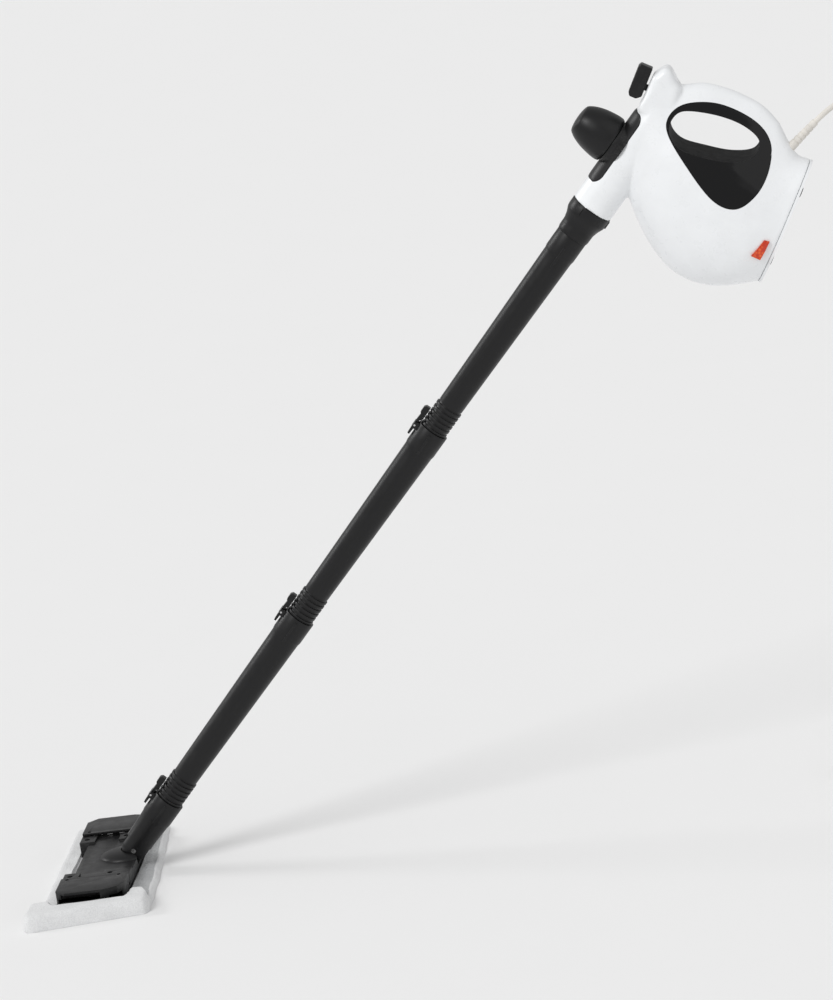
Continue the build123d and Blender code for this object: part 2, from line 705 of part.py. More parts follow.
def make_unit():
    housing()
    keep("base_plate", base_plate(), unit_frame)
    keep("base_feet", base_feet(), unit_frame)
    keep("saddle", saddle(), nozzle)
    spigot = rod(SPIGOT_R, -SPIGOT_LENGTH, 6) + rod(21, 2.9, 6) - rod(4, -SPIGOT_LENGTH, 6)
    keep("nozzle_spigot", spigot, nozzle)
    keep("filler_neck", rod(15, -46, 25.9) - rod(11, -46, 25.9), cap_frame)
    keep("cap_seal", ring(13.9, 11.2, 26.1, 27.8), cap_frame)
    keep("cap_plug", cap_plug(), cap_frame)
    keep("filler_cap", filler_cap(), cap_frame)
    keep("boiler", boiler(), unit_frame)
    keep("heater", Pos(BOILER_AT, 0, 0) * (rod(30, -174, -165.2) - rod(20, -174, -165.2)), unit_frame)
    keep("thermostat", Pos(BOILER_AT, 0, 0) * rod(9, -175, -165.2), unit_frame)
    keep("thermal_fuse", Pos(100, 0, -184) * Rot(0, 90, 0) * Cylinder(3, 24), unit_frame)
    keep("steam_switch", block(STEM_AT - 9, STEM_AT + 9, -8, 8, -38, -27.5), unit_frame)
    keep("trigger", trigger(), unit_frame)
    keep("trigger_stem", Pos(STEM_AT, 0, 0) * rod(4, -24.5, -2.2), unit_frame)
    path = FilletPolyline((BOILER_AT, 0, -73.6), (BOILER_AT, 0, -9.9), (8, 0, -1.8), radius=9)
    keep("steam_pipe", sweep(Plane((BOILER_AT, 0, -73.6)) * Circle(3), path=path), unit_frame)
    keep("indicator_lens", lens_bar(0) & block(0, 100, -50.5, -43, -230, -180), unit_frame)
    keep("indicator_lamp", screw_bar(2.5, 42, -196.5, -42.5, -34), unit_frame)
    screws = Part()
    for x, z in SCREW_PLACES:
        surface = half_width(x, z)
        screws += screw_bar(3.0, x, z, surface - 12, surface - 1.5)
    keep("housing_screws", screws, unit_frame)
    keep("strain_relief", strain_relief(), relief_place())


def make_cord():
    cord_tube("cord_lead", LEAD_ROUTE)
    cord_tube("cord_tail", TAIL_ROUTE)
    keep("cord_coil", cord_coil(), Location((COIL_X, COIL_R, 0)))
    keep("cord_tie", cord_tie(), Location((COIL_X, COIL_R, 0), (0, 0, 150)))
    end, before = Vector(TAIL_ROUTE[-1]), Vector(TAIL_ROUTE[-2])
    heading = math.degrees(math.atan2(end.Y - before.Y, end.X - before.X))
    place = Location(TAIL_ROUTE[-1], (0, 0, heading)) * Location((0, 0, 0), (0, 90, 0))
    keep("plug", plug_body(), place)
    keep("plug_pins", plug_pins(), place)


make_pole()
make_head()
make_unit()
make_cord()
os.makedirs("parts", exist_ok=True)
for node, shape in written.items():
    export_step(shape, f"parts/{node}.step")
print(len(written), "nodes")
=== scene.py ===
"""Steam mop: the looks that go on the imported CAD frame.

Row frame in metres: +Z up, the floor at Z = 0, +X from the floor head towards the handle.
Body levels, routes and profiles below are in millimetres, in the frame that their comment names.
"""

import json
import math

import bmesh
import bpy
import numpy as np
from mathutils import Matrix, Vector, noise


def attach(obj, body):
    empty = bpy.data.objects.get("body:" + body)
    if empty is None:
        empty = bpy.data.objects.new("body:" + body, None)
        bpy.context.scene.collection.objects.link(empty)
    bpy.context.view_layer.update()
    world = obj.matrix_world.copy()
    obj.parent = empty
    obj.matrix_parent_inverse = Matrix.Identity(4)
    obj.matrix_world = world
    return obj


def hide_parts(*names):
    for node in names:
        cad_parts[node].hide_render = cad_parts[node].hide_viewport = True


bpy.context.scene.view_settings.view_transform = "Standard"
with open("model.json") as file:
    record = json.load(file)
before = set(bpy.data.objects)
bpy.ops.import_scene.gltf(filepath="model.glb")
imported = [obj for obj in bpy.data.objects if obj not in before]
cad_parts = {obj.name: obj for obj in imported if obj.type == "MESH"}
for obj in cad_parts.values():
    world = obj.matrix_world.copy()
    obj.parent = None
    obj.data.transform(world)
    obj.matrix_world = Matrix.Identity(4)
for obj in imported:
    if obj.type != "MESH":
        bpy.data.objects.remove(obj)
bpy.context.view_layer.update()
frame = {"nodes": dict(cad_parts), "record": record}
nodes = frame["nodes"]

MM = 0.001

# Frames: the pole (z up the pole, -x its upper side), the nozzle, the filler cap and the standing unit
PIVOT = Vector((0.038, 0, 0.031))
LEAN = math.radians(43)
NOSE_DROP = math.radians(12.4)
NOSE_AT = 965
CAP_AT = 78
QUARTER = math.radians(90)
POLE = Matrix.Translation(PIVOT) @ Matrix.Rotation(LEAN, 4, "Y") @ Matrix.Scale(MM, 4)
NOZZLE = POLE @ Matrix.Translation((0, 0, NOSE_AT))
CAP = NOZZLE @ Matrix.Translation((0, 0, CAP_AT)) @ Matrix.Rotation(-QUARTER, 4, "Y")
UNIT = NOZZLE @ Matrix.Rotation(-QUARTER - NOSE_DROP, 4, "Y")
ROW = Matrix.Scale(MM, 4)

# Camera: a long lens on the -Y side, a little towards +X and above, rolled; angles, then metres
AZIMUTH = math.radians(7.16)
ELEVATION = math.radians(13.84)
ROLL = math.radians(8.8)
DISTANCE = 6.0
LENS = 183.2
AIM = (0.450, 0, 0.450)
AIM_RIGHT = -0.0038
AIM_UP = -0.0334

# Cord, in the row frame
CORD_D = 6.5
COIL_MIDDLE = (950, 44.6)
COIL_MID_R = 38
COIL_PITCH = 6.6
COIL_POINTS = 16  # control points for each turn
# Each turn's place in the coil: across and layer, in pitches
COIL_SLOTS = [(1, 0), (0, 0), (-1, 0), (-1, 1), (-1, 2), (0, 2), (0, 1), (1, 1), (1, 2)]
LEAD_ROUTE = [
    (965, 0, 803), (989, 0, 822), (1016, 0, 826), (1041, 1, 815), (1057, 2, 791),
    (1064, 4, 748), (1068, 6, 688), (1071, 9, 600), (1072, 11, 511), (1070, 12, 421),
    (1066, 11, 331), (1061, 9, 241), (1055, 6, 152), (1048, 3, 95), (1035, 1, 50),
    (1007, 0, 18), (975, 0, 4), (950, 0, 3.4),
]
TAIL_ROUTE = [(950, 89.2, 16.5), (975, 90.2, 16.5), (1000, 94.2, 17), (1022, 99.2, 17.5)]

# Steam unit, in its standing frame: height, front, rear, half width at the widest and at the rear
BODY_LEVELS = [
    (-210, -4, 151, 46, 32), (-195, -13, 150.5, 49, 28), (-180, -22, 160, 52, 24),
    (-160, -30.5, 177, 54, 20), (-135, -34, 188, 55, 19), (-110, -30, 191, 53, 19),
    (-86, -18, 190.5, 49, 19), (-62, 0, 186, 42, 19), (-38, 24, 174, 33, 19),
    (-18, 50, 172, 25, 19),
]
WIDEST_SHARE = 0.42
REAR_POWER = 6
LEVEL_STEP = 2.0
LEVEL_POINTS = 60
NOSE_R = 25.5
NOSE_SIDE = [(NOSE_R, 112), (24.8, 126), (22.4, 142), (17.5, 156), (10, 166)]
HORN = [
    (128, -4.8), (146, -4.6), (162, -4.6), (173, -5.2), (179, -8.8), (184, -11.5), (187.4, -15.5),
    (187, -21), (182.5, -27), (177, -33), (170, -41), (150, -44), (132, -40), (124, -22),
]
HORN_HALF = 21
HORN_ROUND = 9
STEM_HOLE = (155, 4.4, 26)  # place along the horn, radius and depth
TEARDROP = [
    (141, -40), (121, -45), (97, -78), (73, -122), (74, -151), (98, -167),
    (128, -169), (156, -158), (171, -131), (173, -88), (160, -54),
]
HAND_HOLE = [
    (134, -44), (119, -49), (110, -66), (112, -92), (119, -124),
    (133, -146), (152, -146), (161, -122), (160, -88), (150, -53),
]
VOXEL = 1.5
INSERT_GAP = 0.25  # from the seam's middle to the housing and to the insert
MOUTH_R = 15.2
FILLER_R = 15.3
BEYOND = 80  # half length of a tool that cuts right through

# Saddle round the nose, in the nozzle's frame: its ends along the nose, its lower edge and its corners
SADDLE = (27.5, 126)
SADDLE_LOW = 12
SADDLE_R = 26.1
SADDLE_CORNER = 15
SADDLE_THICK = 2
RIM_DROP = 1.2

# Filler knob and the boss under it, in the cap's frame: heights, radii, and outlines of (radius, height)
KNOB_FOOT = 27.3
KNOB_ROOF = 56
PLUG_R = 14.1
BOSS_BORE = 15.4
KNOB_SIDE = [
    (27.2, KNOB_FOOT), (28.4, 30), (28.6, 35), (27.8, 43), (26.2, 52), (23.8, 60), (21.2, 66), (18.6, 70.2),
]
KNOB_TOP = [(16.8, 72.3), (13, 73.6), (7, 74.6), (0, 75)]
BOSS = [
    (BOSS_BORE, 12), (26.4, 12), (26.4, 25.6), (26.1, 26.4), (25.3, 26.8), (BOSS_BORE, 26.8), (BOSS_BORE, 12),
]

# Rounded edges of the moulded pieces, in millimetres
EDGES = {
    "neck": 0.8, "tube_lower": 0.5, "tube_middle": 0.5, "tube_upper": 0.5, "locking_collar": 0.8,
    "latch_neck": 0.5, "latch_lower": 0.5, "latch_middle": 0.5, "head_base": 0.6, "head_housing": 1.0,
    "clamp_near": 1.2, "clamp_far": 1.2, "trigger": 1.5, "base_plate": 0.9, "base_feet": 0.8,
    "strain_relief": 0.4, "indicator_lens": 0.4, "head_screws": 0.3,
}
PLUG_EDGES = {"plug": 1.2, "plug_pins": 0.5}

# Cloth pad, in the row frame: its ends, its edges, the fold at the near end and the plate that stands in
# it, then its heights, and the crease, the seam and the hem across it
PAD_NEAR = -180
PAD_FAR = 165
PAD_FRONT = -64
PAD_REAR = 63
REAR_SLANT = 0.061
FOLD_FRONT = -76
FOLD_TOP = 19.0
PLATE_X = 43
PLATE_Y = 143.5
PLATE_FLOOR = 5.6
ROUND_EDGE = 7.0
UNDERSIDE = 0.1
EDGE_LOW = 0.5
THICKNESS = 9.0
PANEL_THICK = 9.5
PANEL_FALL = 4.0
HIGHEST = 20.5
CREASE_AT = -46
CREASE_DEPTH = 1.4
SEAM_AT = -166
HEM_WIDTH = 6.5
HEM_HEIGHT = 1.5
FOLD_FROM = -122
NEAR_CORNER = (16, 14)  # along the pad and across it
FAR_CORNER = (9, 7)
SEAM_GAP = 0.3  # on both sides of the plate's outline, for a steep step


def camera():
    """The long lens, its roll included in the object's rotation."""
    back = Vector((math.sin(AZIMUTH) * math.cos(ELEVATION), -math.cos(AZIMUTH) * math.cos(ELEVATION),
                   math.sin(ELEVATION)))
    level_right = Vector((math.cos(AZIMUTH), math.sin(AZIMUTH), 0))
    level_up = back.cross(level_right)
    right = math.cos(ROLL) * level_right - math.sin(ROLL) * level_up
    up = math.sin(ROLL) * level_right + math.cos(ROLL) * level_up
    at = Vector(AIM) + AIM_RIGHT * right + AIM_UP * up + DISTANCE * back
    data = bpy.data.cameras.new("camera")
    data.lens = LENS
    data.clip_end = 50
    eye = bpy.data.objects.new("camera", data)
    eye.matrix_world = Matrix.Translation(at) @ Matrix((right, up, back)).transposed().to_4x4()
    bpy.context.scene.collection.objects.link(eye)
    bpy.context.scene.camera = eye


def sun(name, towards, width, strength):
    """A soft distant light that shines in one direction."""
    data = bpy.data.lights.new(name, "SUN")
    data.angle = math.radians(width)
    data.energy = strength
    light = bpy.data.objects.new(name, data)
    light.rotation_euler = Vector(towards).to_track_quat("-Z", "Y").to_euler()
    bpy.context.scene.collection.objects.link(light)


# Node materials

class Shader:
    """A Principled material, and short names for the nodes that feed it."""

    def __init__(self, name, colour, roughness, **settings):
        self.material = bpy.data.materials.new(name)
        self.material.use_nodes = True
        self.tree = self.material.node_tree
        self.main = self.tree.nodes["Principled BSDF"]
        self.main.inputs["Base Color"].default_value = (*colour, 1)
        self.main.inputs["Roughness"].default_value = roughness
        for key, value in settings.items():
            self.main.inputs[key.replace("_", " ")].default_value = value
        self.place = self.add("ShaderNodeTexCoord").outputs["Object"]
        self.normal = None

    def add(self, kind, **links):
        node = self.tree.nodes.new(kind)
        for key, value in links.items():
            socket = node.inputs[key.replace("_", " ")]
            if hasattr(value, "default_value") or hasattr(value, "is_linked"):
                self.tree.links.new(value, socket)
            else:
                socket.default_value = value
        return node

    def link(self, output, socket):
        self.tree.links.new(output, self.main.inputs[socket])

    def noise(self, scale, detail=3.0, roughness=0.5):
        """Noise from 0 to 1, its scale in features per metre."""
        node = self.add("ShaderNodeTexNoise", Vector=self.place, Scale=scale, Detail=detail,
                        Roughness=roughness)
        return node.outputs["Fac"]

    def cells(self, scale):
        """Distance to the middle of the nearest cell."""
        node = self.add("ShaderNodeTexVoronoi", Vector=self.place, Scale=scale)
        return node.outputs["Distance"]

    def ramp(self, value, low, high, to_low, to_high):
        """A value mapped from one range to another and held to it."""
        node = self.add("ShaderNodeMapRange", Value=value)
        node.inputs["From Min"].default_value = low
        node.inputs["From Max"].default_value = high
        node.inputs["To Min"].default_value = to_low
        node.inputs["To Max"].default_value = to_high
        return node.outputs["Result"]

    def mix(self, share, first, second):
        """A colour between two others."""
        node = self.tree.nodes.new("ShaderNodeMix")
        node.data_type = "RGBA"
        self.tree.links.new(share, node.inputs["Factor"])
        for colour, index in ((first, 6), (second, 7)):
            if isinstance(colour, tuple):
                node.inputs[index].default_value = (*colour, 1)
            else:
                self.tree.links.new(colour, node.inputs[index])
        return node.outputs[2]

    def bump(self, height, strength, depth):
        """Adds relief of a depth in metres."""
        node = self.tree.nodes.new("ShaderNodeBump")
        node.inputs["Strength"].default_value = strength
        node.inputs["Distance"].default_value = depth
        self.tree.links.new(height, node.inputs["Height"])
        if self.normal is not None:
            self.tree.links.new(self.normal, node.inputs["Normal"])
        self.normal = node.outputs["Normal"]
        self.link(self.normal, "Normal")

    def edges(self, low, high):
        """How far a place is on a convex edge, from 0 to 1."""
        node = self.add("ShaderNodeNewGeometry")
        return self.ramp(node.outputs["Pointiness"], low, high, 0, 1)


def moulded(name, colour, roughness, grain, grain_depth, worn, **settings):
    """Moulded plastic: fine grain, faint mottling, uneven gloss and paler convex edges."""
    shader = Shader(name, colour, roughness, **settings)
    mottle = shader.ramp(shader.noise(38, 4), 0.35, 0.65, 0, 1)
    base = shader.mix(mottle, tuple(c * 0.985 for c in colour), tuple(min(1, c * 1.015) for c in colour))
    edge = shader.edges(0.52, 0.6)
    scratch = shader.ramp(shader.noise(420, 6, 0.7), 0.45, 0.7, 0, 1)
    wear = shader.add("ShaderNodeMath")
    wear.operation = "MULTIPLY"
    shader.tree.links.new(edge, wear.inputs[0])
    shader.tree.links.new(scratch, wear.inputs[1])
    shader.link(shader.mix(wear.outputs[0], base, worn), "Base Color")
    gloss = shader.ramp(shader.noise(90, 5, 0.6), 0.3, 0.7, roughness - 0.05, roughness + 0.06)
    shader.link(gloss, "Roughness")
    shader.bump(shader.noise(grain, 2, 0.6), 0.35, grain_depth)
    shader.bump(shader.noise(16, 1), 0.08, 0.0003)
    return shader.material


def metal(name, colour, roughness):
    """Turned or drawn metal with faint stains."""
    shader = Shader(name, colour, roughness, Metallic=1.0)
    stain = shader.ramp(shader.noise(120, 5), 0.4, 0.7, 0, 1)
    shader.link(shader.mix(stain, colour, tuple(c * 0.82 for c in colour)), "Base Color")
    shader.link(shader.ramp(shader.noise(300, 4), 0.3, 0.7, roughness - 0.08, roughness + 0.1), "Roughness")
    shader.bump(shader.noise(1600, 2), 0.2, 0.00003)
    return shader.material


def terry(name, colour, shade, loop, depth, **settings):
    """Microfibre cloth: small loops, soft pile, grey soiling and painted shade in the gaps between the loops.
    """
    shader = Shader(name, colour, 0.95, **settings)
    shader.main.inputs["Sheen Weight"].default_value = 0.35
    shader.main.inputs["Sheen Roughness"].default_value = 0.6
    loops = shader.cells(loop)
    soil = shader.ramp(shader.noise(26, 5, 0.6), 0.4, 0.68, 0, 1)
    # Painted shade: a darker colour towards the edge of each loop cell, where the gaps between the loops
    # would lie in shade.
    loop_gap_shade = shader.ramp(loops, 0.2, 0.75, 0, 1)
    base = shader.mix(soil, colour, shade)
    gap_shade_colour = tuple(c * 0.72 for c in shade)
    share = shader.add("ShaderNodeMath")
    share.operation = "MULTIPLY"
    shader.tree.links.new(loop_gap_shade, share.inputs[0])
    share.inputs[1].default_value = 0.28
    shader.link(shader.mix(share.outputs[0], base, gap_shade_colour), "Base Color")
    shader.bump(loops, 0.8, depth)
    shader.bump(shader.noise(260, 4, 0.7), 0.35, depth)
    return shader.material


def lens_plastic(name):
    """Clear red plastic, with the glow of a lit lamp behind it painted into the colour: brighter red towards
    the middle of each cell.
    """
    shader = Shader(name, (0.85, 0.09, 0.02), 0.15, Transmission_Weight=0.15, IOR=1.49)
    painted_glow = shader.ramp(shader.cells(260), 0.1, 0.6, 0, 1)
    shader.link(shader.mix(painted_glow, (0.95, 0.16, 0.03), (0.62, 0.04, 0.01)), "Base Color")
    shader.bump(shader.cells(260), 0.5, 0.0003)
    return shader.material


def jacket(name, colour, roughness):
    """Soft cord jacket: faint grain and handling marks."""
    shader = Shader(name, colour, roughness)
    marks = shader.ramp(shader.noise(60, 5), 0.42, 0.7, 0, 1)
    shader.link(shader.mix(marks, colour, tuple(c * 0.86 for c in colour)), "Base Color")
    shader.bump(shader.noise(900, 3), 0.3, 0.00006)
    return shader.material


materials = {
    "white_plastic": moulded("white_plastic", (0.86, 0.875, 0.89), 0.3, 2600, 0.00002, (0.93, 0.93, 0.93),
                             Coat_Weight=0.25, Coat_Roughness=0.12),
    "gloss_black": moulded("gloss_black", (0.003, 0.003, 0.0035), 0.09, 1800, 0.000008, (0.03, 0.03, 0.03),
                           Specular_IOR_Level=0.3),
    "black_plastic": moulded("black_plastic", (0.007, 0.007, 0.0075), 0.38, 1500, 0.00009, (0.03, 0.03, 0.03),
                             Specular_IOR_Level=0.3),
    "grip_black": moulded("grip_black", (0.005, 0.005, 0.0055), 0.6, 900, 0.00006, (0.03, 0.03, 0.03),
                          Specular_IOR_Level=0.06),
    "grey_rubber": moulded("grey_rubber", (0.035, 0.035, 0.037), 0.75, 900, 0.00012, (0.09, 0.09, 0.09)),
    "steel": metal("steel", (0.6, 0.6, 0.6), 0.28),
    "boiler_aluminium": metal("boiler_aluminium", (0.72, 0.72, 0.73), 0.42),
    "brass": metal("brass", (0.72, 0.52, 0.24), 0.3),
    "line_white": moulded("line_white", (0.8, 0.8, 0.78), 0.5, 1800, 0.00004, (0.86, 0.86, 0.84)),
    "red_lens": lens_plastic("red_lens"),
    "cream_cord": jacket("cream_cord", (0.74, 0.71, 0.66), 0.55),
    "tie_black": jacket("tie_black", (0.02, 0.02, 0.02), 0.5),
    "cloth": terry("cloth", (0.78, 0.785, 0.79), (0.68, 0.685, 0.69), 620, 0.0006),
    # The same cloth, darker and with coarser loops, for the rear panel: its darkness is painted shade.
    "cloth_panel": terry("cloth_panel", (0.52, 0.53, 0.535), (0.38, 0.39, 0.4), 430, 0.0011),
}


def paint(obj, slot):
    """Gives a piece the one material of its slot."""
    obj.data.materials.clear()
    obj.data.materials.append(materials[slot])
    return obj


for part in frame["record"]["subparts"]:
    paint(nodes[part["node"]], part["material_slot"])
slot_of = {part["node"]: part["material_slot"] for part in frame["record"]["subparts"]}


# Mesh helpers

def new_piece(name, verts, faces, place=None):
    """A mesh object, its points moved from one working frame to the row frame."""
    mesh = bpy.data.meshes.new(name)
    mesh.from_pydata([tuple(v) for v in verts], [], faces)
    if place is not None:
        mesh.transform(place)
    mesh.validate()
    obj = bpy.data.objects.new(name, mesh)
    bpy.context.scene.collection.objects.link(obj)
    recalculate(obj)
    return obj


def recalculate(obj):
    """Closes seams and turns all faces outward."""
    bm = bmesh.new()
    bm.from_mesh(obj.data)
    bmesh.ops.remove_doubles(bm, verts=bm.verts, dist=0.000001)
    bmesh.ops.recalc_face_normals(bm, faces=bm.faces)
    bm.to_mesh(obj.data)
    bm.free()


def modify(obj, kind, **settings):
    """Adds one modifier and applies everything on the piece."""
    modifier = obj.modifiers.new(kind.lower(), kind)
    for key, value in settings.items():
        setattr(modifier, key, value)
    graph = bpy.context.evaluated_depsgraph_get()
    shaped = bpy.data.meshes.new_from_object(obj.evaluated_get(graph))
    obj.modifiers.clear()
    old = obj.data
    obj.data = shaped
    bpy.data.meshes.remove(old)
    return obj


def smooth(obj, angle=35):
    """Smooth shading with sharp edges above an angle."""
    obj.data.shade_smooth()
    bm = bmesh.new()
    bm.from_mesh(obj.data)
    limit = math.radians(angle)
    for edge in bm.edges:
        if len(edge.link_faces) == 2:
            edge.smooth = edge.calc_face_angle(0) < limit
    bm.to_mesh(obj.data)
    bm.free()
    return obj


def cut(obj, tool, operation="DIFFERENCE"):
    """One boolean with a tool that is thrown away."""
    modify(obj, "BOOLEAN", object=tool, operation=operation, solver="EXACT")
    bpy.data.objects.remove(tool)
    return obj


def softened(node, body, width):
    """A copy of a CAD node with rounded edges, shown in its place."""
    source = nodes[node]
    mesh = source.data.copy()
    bm = bmesh.new()
    bm.from_mesh(mesh)
    bmesh.ops.remove_doubles(bm, verts=bm.verts, dist=0.00001)
    bmesh.ops.dissolve_limit(bm, angle_limit=math.radians(0.6), verts=bm.verts, edges=bm.edges)
    sharp = [e for e in bm.edges if len(e.link_faces) == 2 and e.calc_face_angle(0) > math.radians(28)]
    bmesh.ops.bevel(bm, geom=sharp, offset=width * MM, segments=3, profile=0.5, affect="EDGES",
                    clamp_overlap=True)
    bm.to_mesh(mesh)
    bm.free()
    obj = bpy.data.objects.new(f"{node}_soft", mesh)
    bpy.context.scene.collection.objects.link(obj)
    smooth(obj, 40)
    return dress(obj, body, slot_of[node], node)


def dress(obj, body, slot, *replaced):
    """Material, body and the CAD nodes that a piece stands for."""
    paint(obj, slot)
    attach(obj, body)
    if replaced:
        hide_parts(*replaced)
    return obj


def through(points, count):
    """A closed smooth outline through a few points, evenly divided between them."""
    points = np.array(points, float)
    before, after, later = np.roll(points, 1, 0), np.roll(points, -1, 0), np.roll(points, -2, 0)
    outline = []
    for i in range(len(points)):
        for j in range(count):
            outline.append(between(before[i], points[i], after[i], later[i], j / count))
    return np.array(outline)


def between(a, b, c, d, t):
    """A place on the smooth curve from b to c."""
    return b + 0.5 * t * (c - a + t * (2 * a - 5 * b + 4 * c - d + t * (3 * (b - c) + d - a)))


def side_bar(name, outline, low, high):
    """An outline in the unit's x-z plane as a bar across it."""
    count = len(outline)
    verts = [(x, low, z) for x, z in outline] + [(x, high, z) for x, z in outline]
    faces = [tuple(range(count)), tuple(range(2 * count - 1, count - 1, -1))]
    faces += [(i, (i + 1) % count, count + (i + 1) % count, count + i) for i in range(count)]
    return new_piece(name, verts, faces, UNIT)


def lathe(name, profile, place, segments=96):
    """A profile of (radius, height) points turned about z; a radius of 0 closes it."""
    verts, rings, faces = [], [], []
    for radius, height in profile:
        if radius == 0:
            rings.append([len(verts)] * segments)
            verts.append((0, 0, height))
            continue
        rings.append(list(range(len(verts), len(verts) + segments)))
        for i in range(segments):
            turn = 2 * math.pi * i / segments
            verts.append((radius * math.cos(turn), radius * math.sin(turn), height))
    for low, high in zip(rings, rings[1:]):
        for i in range(segments):
            corners = dict.fromkeys((low[i], low[(i + 1) % segments], high[(i + 1) % segments], high[i]))
            if len(corners) > 2:
                faces.append(tuple(corners))
    return new_piece(name, verts, faces, place)


def smooth_profile(points, count=6):
    """Points along a smooth curve through an open profile."""
    points = np.array(points, float)
    padded = np.vstack((2 * points[0] - points[1], points, 2 * points[-1] - points[-2]))
    curve = []
    for i in range(1, len(padded) - 2):
        for j in range(count):
            curve.append(tuple(between(*padded[i - 1:i + 3], j / count)))
    return curve + [tuple(points[-1])]


# Cord first: it is the piece that reaches out of the view

def cord_points():
    """Control points of the whole cord: lead, coil and tail."""
    points = list(LEAD_ROUTE)
    stretch = 1 / math.cos(math.pi / COIL_POINTS)
    steps = int((len(COIL_SLOTS) - 0.5) * COIL_POINTS)
    for step in range(1, steps):
        turn = step // COIL_POINTS
        share = min(1.0, 4 * (step % COIL_POINTS) / COIL_POINTS)
        last, slot = COIL_SLOTS[max(turn - 1, 0)], COIL_SLOTS[turn]
        across = last[0] + share * (slot[0] - last[0])
        layer = last[1] + share * (slot[1] - last[1])
        radius = (COIL_MID_R + COIL_PITCH * across) * stretch
        angle = -QUARTER - 2 * math.pi * step / COIL_POINTS
        points.append((COIL_MIDDLE[0] + radius * math.cos(angle), COIL_MIDDLE[1] + radius * math.sin(angle),
                       COIL_PITCH * (layer + 0.5)))
    return points + TAIL_ROUTE


def make_cord():
    curve = bpy.data.curves.new("cord", "CURVE")
    curve.dimensions = "3D"
    curve.bevel_depth = CORD_D / 2 * MM
    curve.bevel_resolution = 5
    curve.use_fill_caps = True
    points = cord_points()
    spline = curve.splines.new("NURBS")
    spline.points.add(len(points) - 1)
    for point, place in zip(spline.points, points):
        point.co = (*(c * MM for c in place), 1)
    spline.order_u = 3
    spline.use_endpoint_u = True
    spline.resolution_u = 8
    cord = bpy.data.objects.new("cord", curve)
    bpy.context.scene.collection.objects.link(cord)
    dress(cord, "unit", "cream_cord", "cord_lead", "cord_coil", "cord_tail")
    on_cord = [softened(node, "unit", width) for node, width in PLUG_EDGES.items()]


# Steam unit

def outline_y(x, front, rear, half, grip):
    """Half the body's width at one place of a level."""
    widest = front + WIDEST_SHARE * (rear - front)
    if x <= widest:
        return half * math.sqrt(max(0.0, 1 - ((widest - x) / (widest - front)) ** 2))
    share = (x - widest) / (rear - widest)
    drawn_in = grip + (half - grip) * (1 + math.cos(math.pi * share)) / 2
    return drawn_in * math.sqrt(max(0.0, 1 - share ** REAR_POWER))


def level_at(z):
    """Front, rear, half width and grip at a height, smooth from level to level."""
    levels = np.array(BODY_LEVELS, float)
    i = int(np.clip(np.searchsorted(levels[:, 0], z) - 1, 0, len(levels) - 2))
    t = (z - levels[i, 0]) / (levels[i + 1, 0] - levels[i, 0])
    before = levels[max(i - 1, 0)]
    later = levels[min(i + 2, len(levels) - 1)]
    return between(before, levels[i], levels[i + 1], later, t)[1:]


def body_surface():
    """The lofted body between its lowest and highest level."""
    low, high = BODY_LEVELS[0][0], BODY_LEVELS[-1][0]
    heights = np.linspace(low, high, int((high - low) / LEVEL_STEP) + 1)
    verts, faces = [], []
    for z in heights:
        front, rear, half, grip = level_at(z)
        for i in range(LEVEL_POINTS):
            turn = 2 * math.pi * i / LEVEL_POINTS
            x = (front + rear) / 2 - (rear - front) / 2 * math.cos(turn)
            y = outline_y(x, front, rear, half, grip)
            verts.append((x, y if turn <= math.pi else -y, z))
    count = LEVEL_POINTS
    for row in range(len(heights) - 1):
        for i in range(count):
            a, b = row * count + i, row * count + (i + 1) % count
            faces.append((a, b, b + count, a + count))
    faces.append(tuple(range(count)))
    faces.append(tuple(range((len(heights) - 1) * count, len(heights) * count)))
    return new_piece("body_form", verts, faces, UNIT)


def rounded_bar(name, outline, half, radius):
    """An outline in the unit's x-z plane as a bar across it, round along both rims."""
    steps, count = 6, len(outline)
    verts = []
    for side in (-1, 1):
        for i in range(steps + 1):
            turn = QUARTER * (i if side > 0 else steps - i) / steps
            across = side * (half - radius * (1 - math.sin(turn)))
            verts += [(x, across, z) for x, z in shifted(outline, -radius * (1 - math.cos(turn)))]
    layers = len(verts) // count
    faces = [tuple(range(count)), tuple(range(len(verts) - 1, len(verts) - count - 1, -1))]
    for row in range(layers - 1):
        low = row * count
        faces += [(low + i, low + (i + 1) % count, low + count + (i + 1) % count, low + count + i)
                  for i in range(count)]
    return new_piece(name, verts, faces, UNIT)


def join(first, *others):
    """Several meshes as one, without working out where they meet."""
    bm = bmesh.new()
    for obj in (first, *others):
        bm.from_mesh(obj.data)
    bm.to_mesh(first.data)
    bm.free()
    for obj in others:
        bpy.data.objects.remove(obj)
    return first


